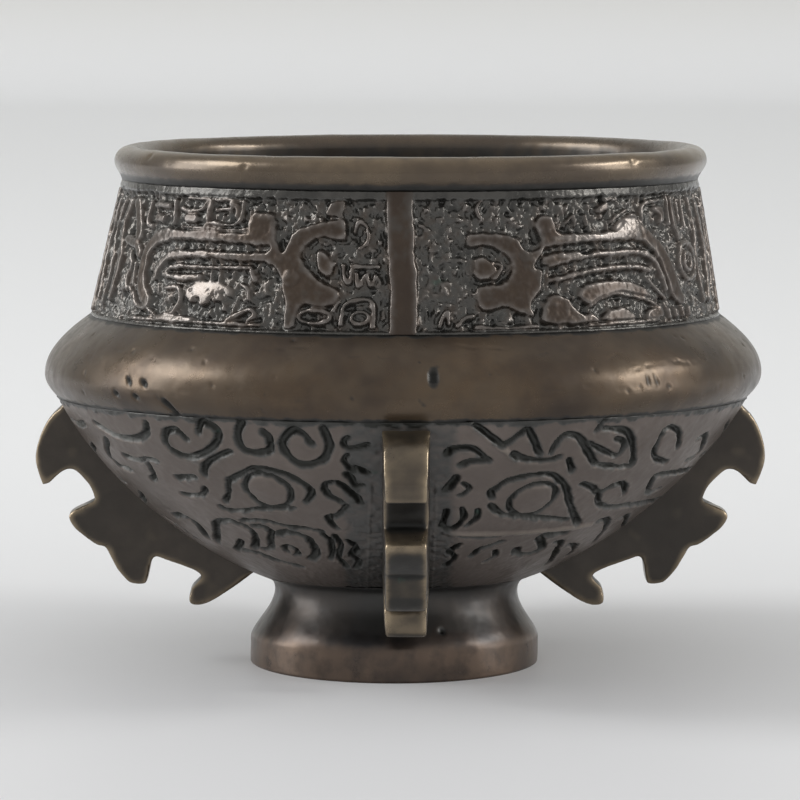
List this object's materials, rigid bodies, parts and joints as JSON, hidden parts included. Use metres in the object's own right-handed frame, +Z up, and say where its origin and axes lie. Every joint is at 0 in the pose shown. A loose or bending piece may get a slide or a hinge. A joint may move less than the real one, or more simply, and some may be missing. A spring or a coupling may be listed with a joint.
{
  "type": "bronze censer",
  "caption": "Small archaistic bronze incense burner: round bowl with carved mask and neck relief, hooked flanges, bulging shoulder and a waisted foot.",
  "frame": {"origin": "middle of the whole casting's outline seen from above, at the plane the foot stands on", "axes": "+Z up, -Y towards the front flange and mask, +X to the right of a viewer who faces it"},
  "size_m": [0.1122, 0.112, 0.0813],
  "materials": {
    "bronze": "cast bronze with a dark brown patina, worn to golden brown on the edges and nearly black in the chiselled ground"
  },
  "bodies": {
    "root": {"censer": "bronze"}
  },
  "joints": []
}
